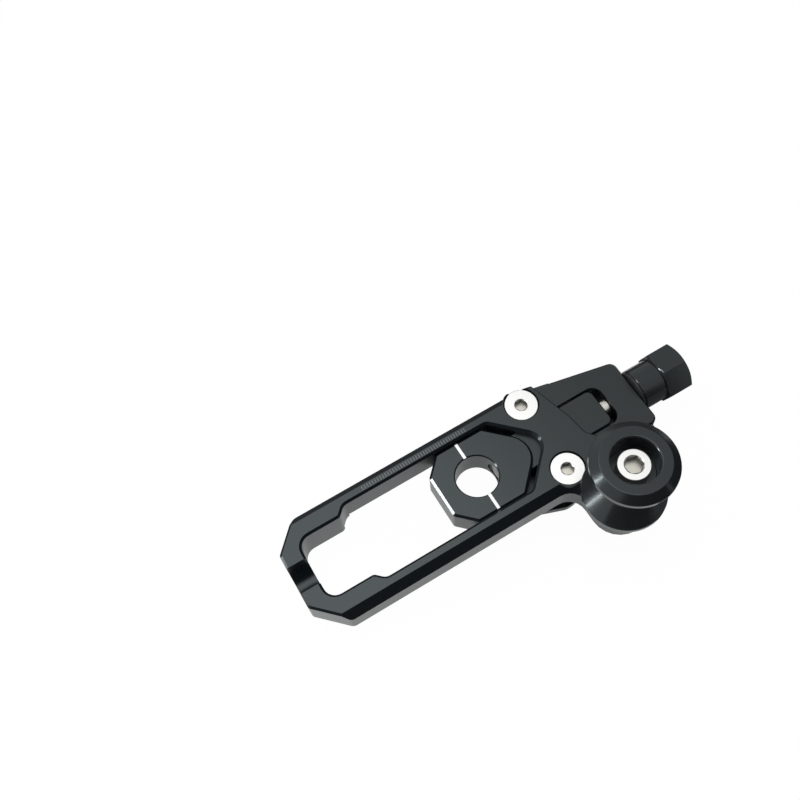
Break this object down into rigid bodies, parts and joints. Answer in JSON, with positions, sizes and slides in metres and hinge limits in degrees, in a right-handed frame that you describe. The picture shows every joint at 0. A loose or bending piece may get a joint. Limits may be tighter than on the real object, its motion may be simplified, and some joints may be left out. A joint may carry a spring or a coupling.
{
  "type": "motorcycle chain adjuster",
  "caption": "Milled chain adjuster with a sliding axle block, engraved scale, screw adjuster with hexagon knob, clamp plate and paddock-stand spool.",
  "frame": {"origin": "axis of the axle bore at the frame's back face, with the axle block in its pictured position", "axes": "+X along the swingarm towards the adjuster knob, +Y across the swingarm towards the rail with the engraved scale, away from the spool, +Z along the axle bore, out of the side with the scale"},
  "size_m": [0.2297, 0.0973, 0.0811],
  "materials": {
    "black_anodised": "satin black anodised",
    "bright_steel": "bright zinc or polished stainless",
    "stainless": "turned stainless",
    "black_washer": "matt black acetal",
    "dark_steel": "blackened"
  },
  "bodies": {
    "body": {"frame": "black_anodised", "back_plate": "black_anodised", "spacer_sleeve_far": "black_anodised", "spacer_sleeve_near": "black_anodised", "plate_screw_far": "bright_steel", "plate_screw_near": "bright_steel", "spool": "black_anodised", "spool_screw": "bright_steel", "thrust_washer": "black_washer", "lock_screw": "bright_steel", "lock_washer": "bright_steel"},
    "slider": {"axle_block": "black_anodised"},
    "adjuster": {"adjuster_bolt": "stainless", "adjuster_knob": "black_anodised", "knob_grub_screw": "dark_steel"}
  },
  "joints": [
    {"name": "adjuster_turn", "type": "hinge", "parent": "body", "child": "adjuster", "pos_m": [0.096, 0, 0.00675], "axis": [1, 0, 0], "range_deg": [0, 12000]},
    {"name": "block_slide", "type": "slide", "parent": "body", "child": "slider", "axis": [1, 0, 0], "range_m": [-0.05, 0]}
  ],
  "couplings": [
    {"joint": "adjuster_turn", "follows": "block_slide", "rad_per_m": -4188.8}
  ]
}
